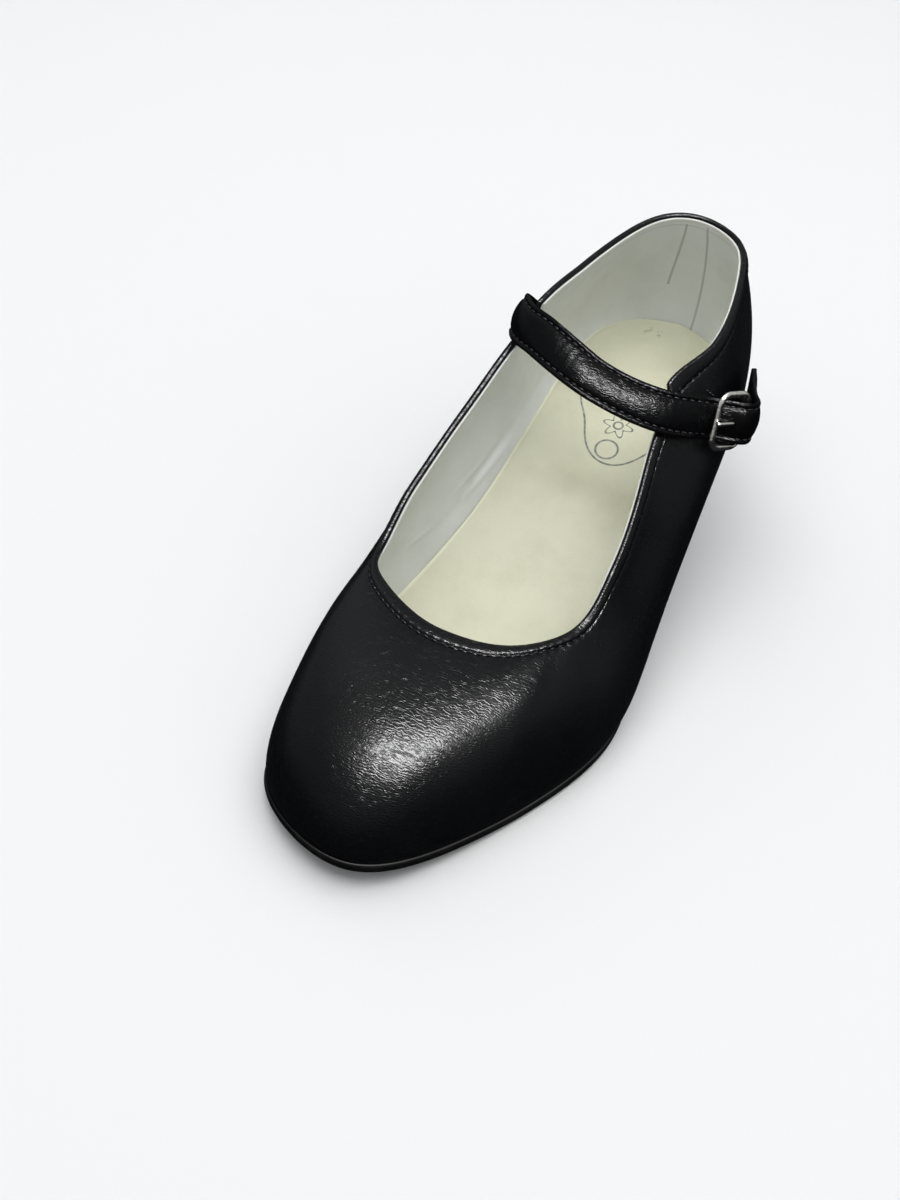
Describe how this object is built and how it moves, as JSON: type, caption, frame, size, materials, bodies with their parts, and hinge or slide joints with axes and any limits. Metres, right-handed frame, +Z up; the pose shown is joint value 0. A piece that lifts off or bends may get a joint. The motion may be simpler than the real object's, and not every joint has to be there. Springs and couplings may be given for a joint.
{
  "type": "flamenco shoe",
  "caption": "Black flamenco shoe for the left foot, with a round toe, a low block heel, an open throat and a padded instep strap held by a small prong buckle.",
  "frame": {"origin": "on the floor, in the middle of the whole shoe seen from above", "axes": "+Z up, -Y towards the toe, +Y towards the heel, +X towards the outer side of the left foot"},
  "size_m": [0.0878, 0.2256, 0.0845],
  "materials": {
    "upper": "fine pebbled grain, soft gloss, grey-green lining",
    "outsole": "matt",
    "insole": "ivory, fine cross grain, printed mark",
    "heel": "satin black",
    "heel_top_piece": "matt",
    "strap": "padded, fine grain, glossy, stitched edges",
    "chape": "fine grain",
    "buckle": "nickel plated wire",
    "buckle_prong": "nickel plated wire"
  },
  "bodies": {
    "root": {"upper": "upper", "outsole": "outsole", "insole": "insole", "heel": "heel", "heel_top_piece": "heel_top_piece", "strap": "strap", "chape": "chape", "buckle": "buckle", "buckle_prong": "buckle_prong"}
  },
  "joints": []
}
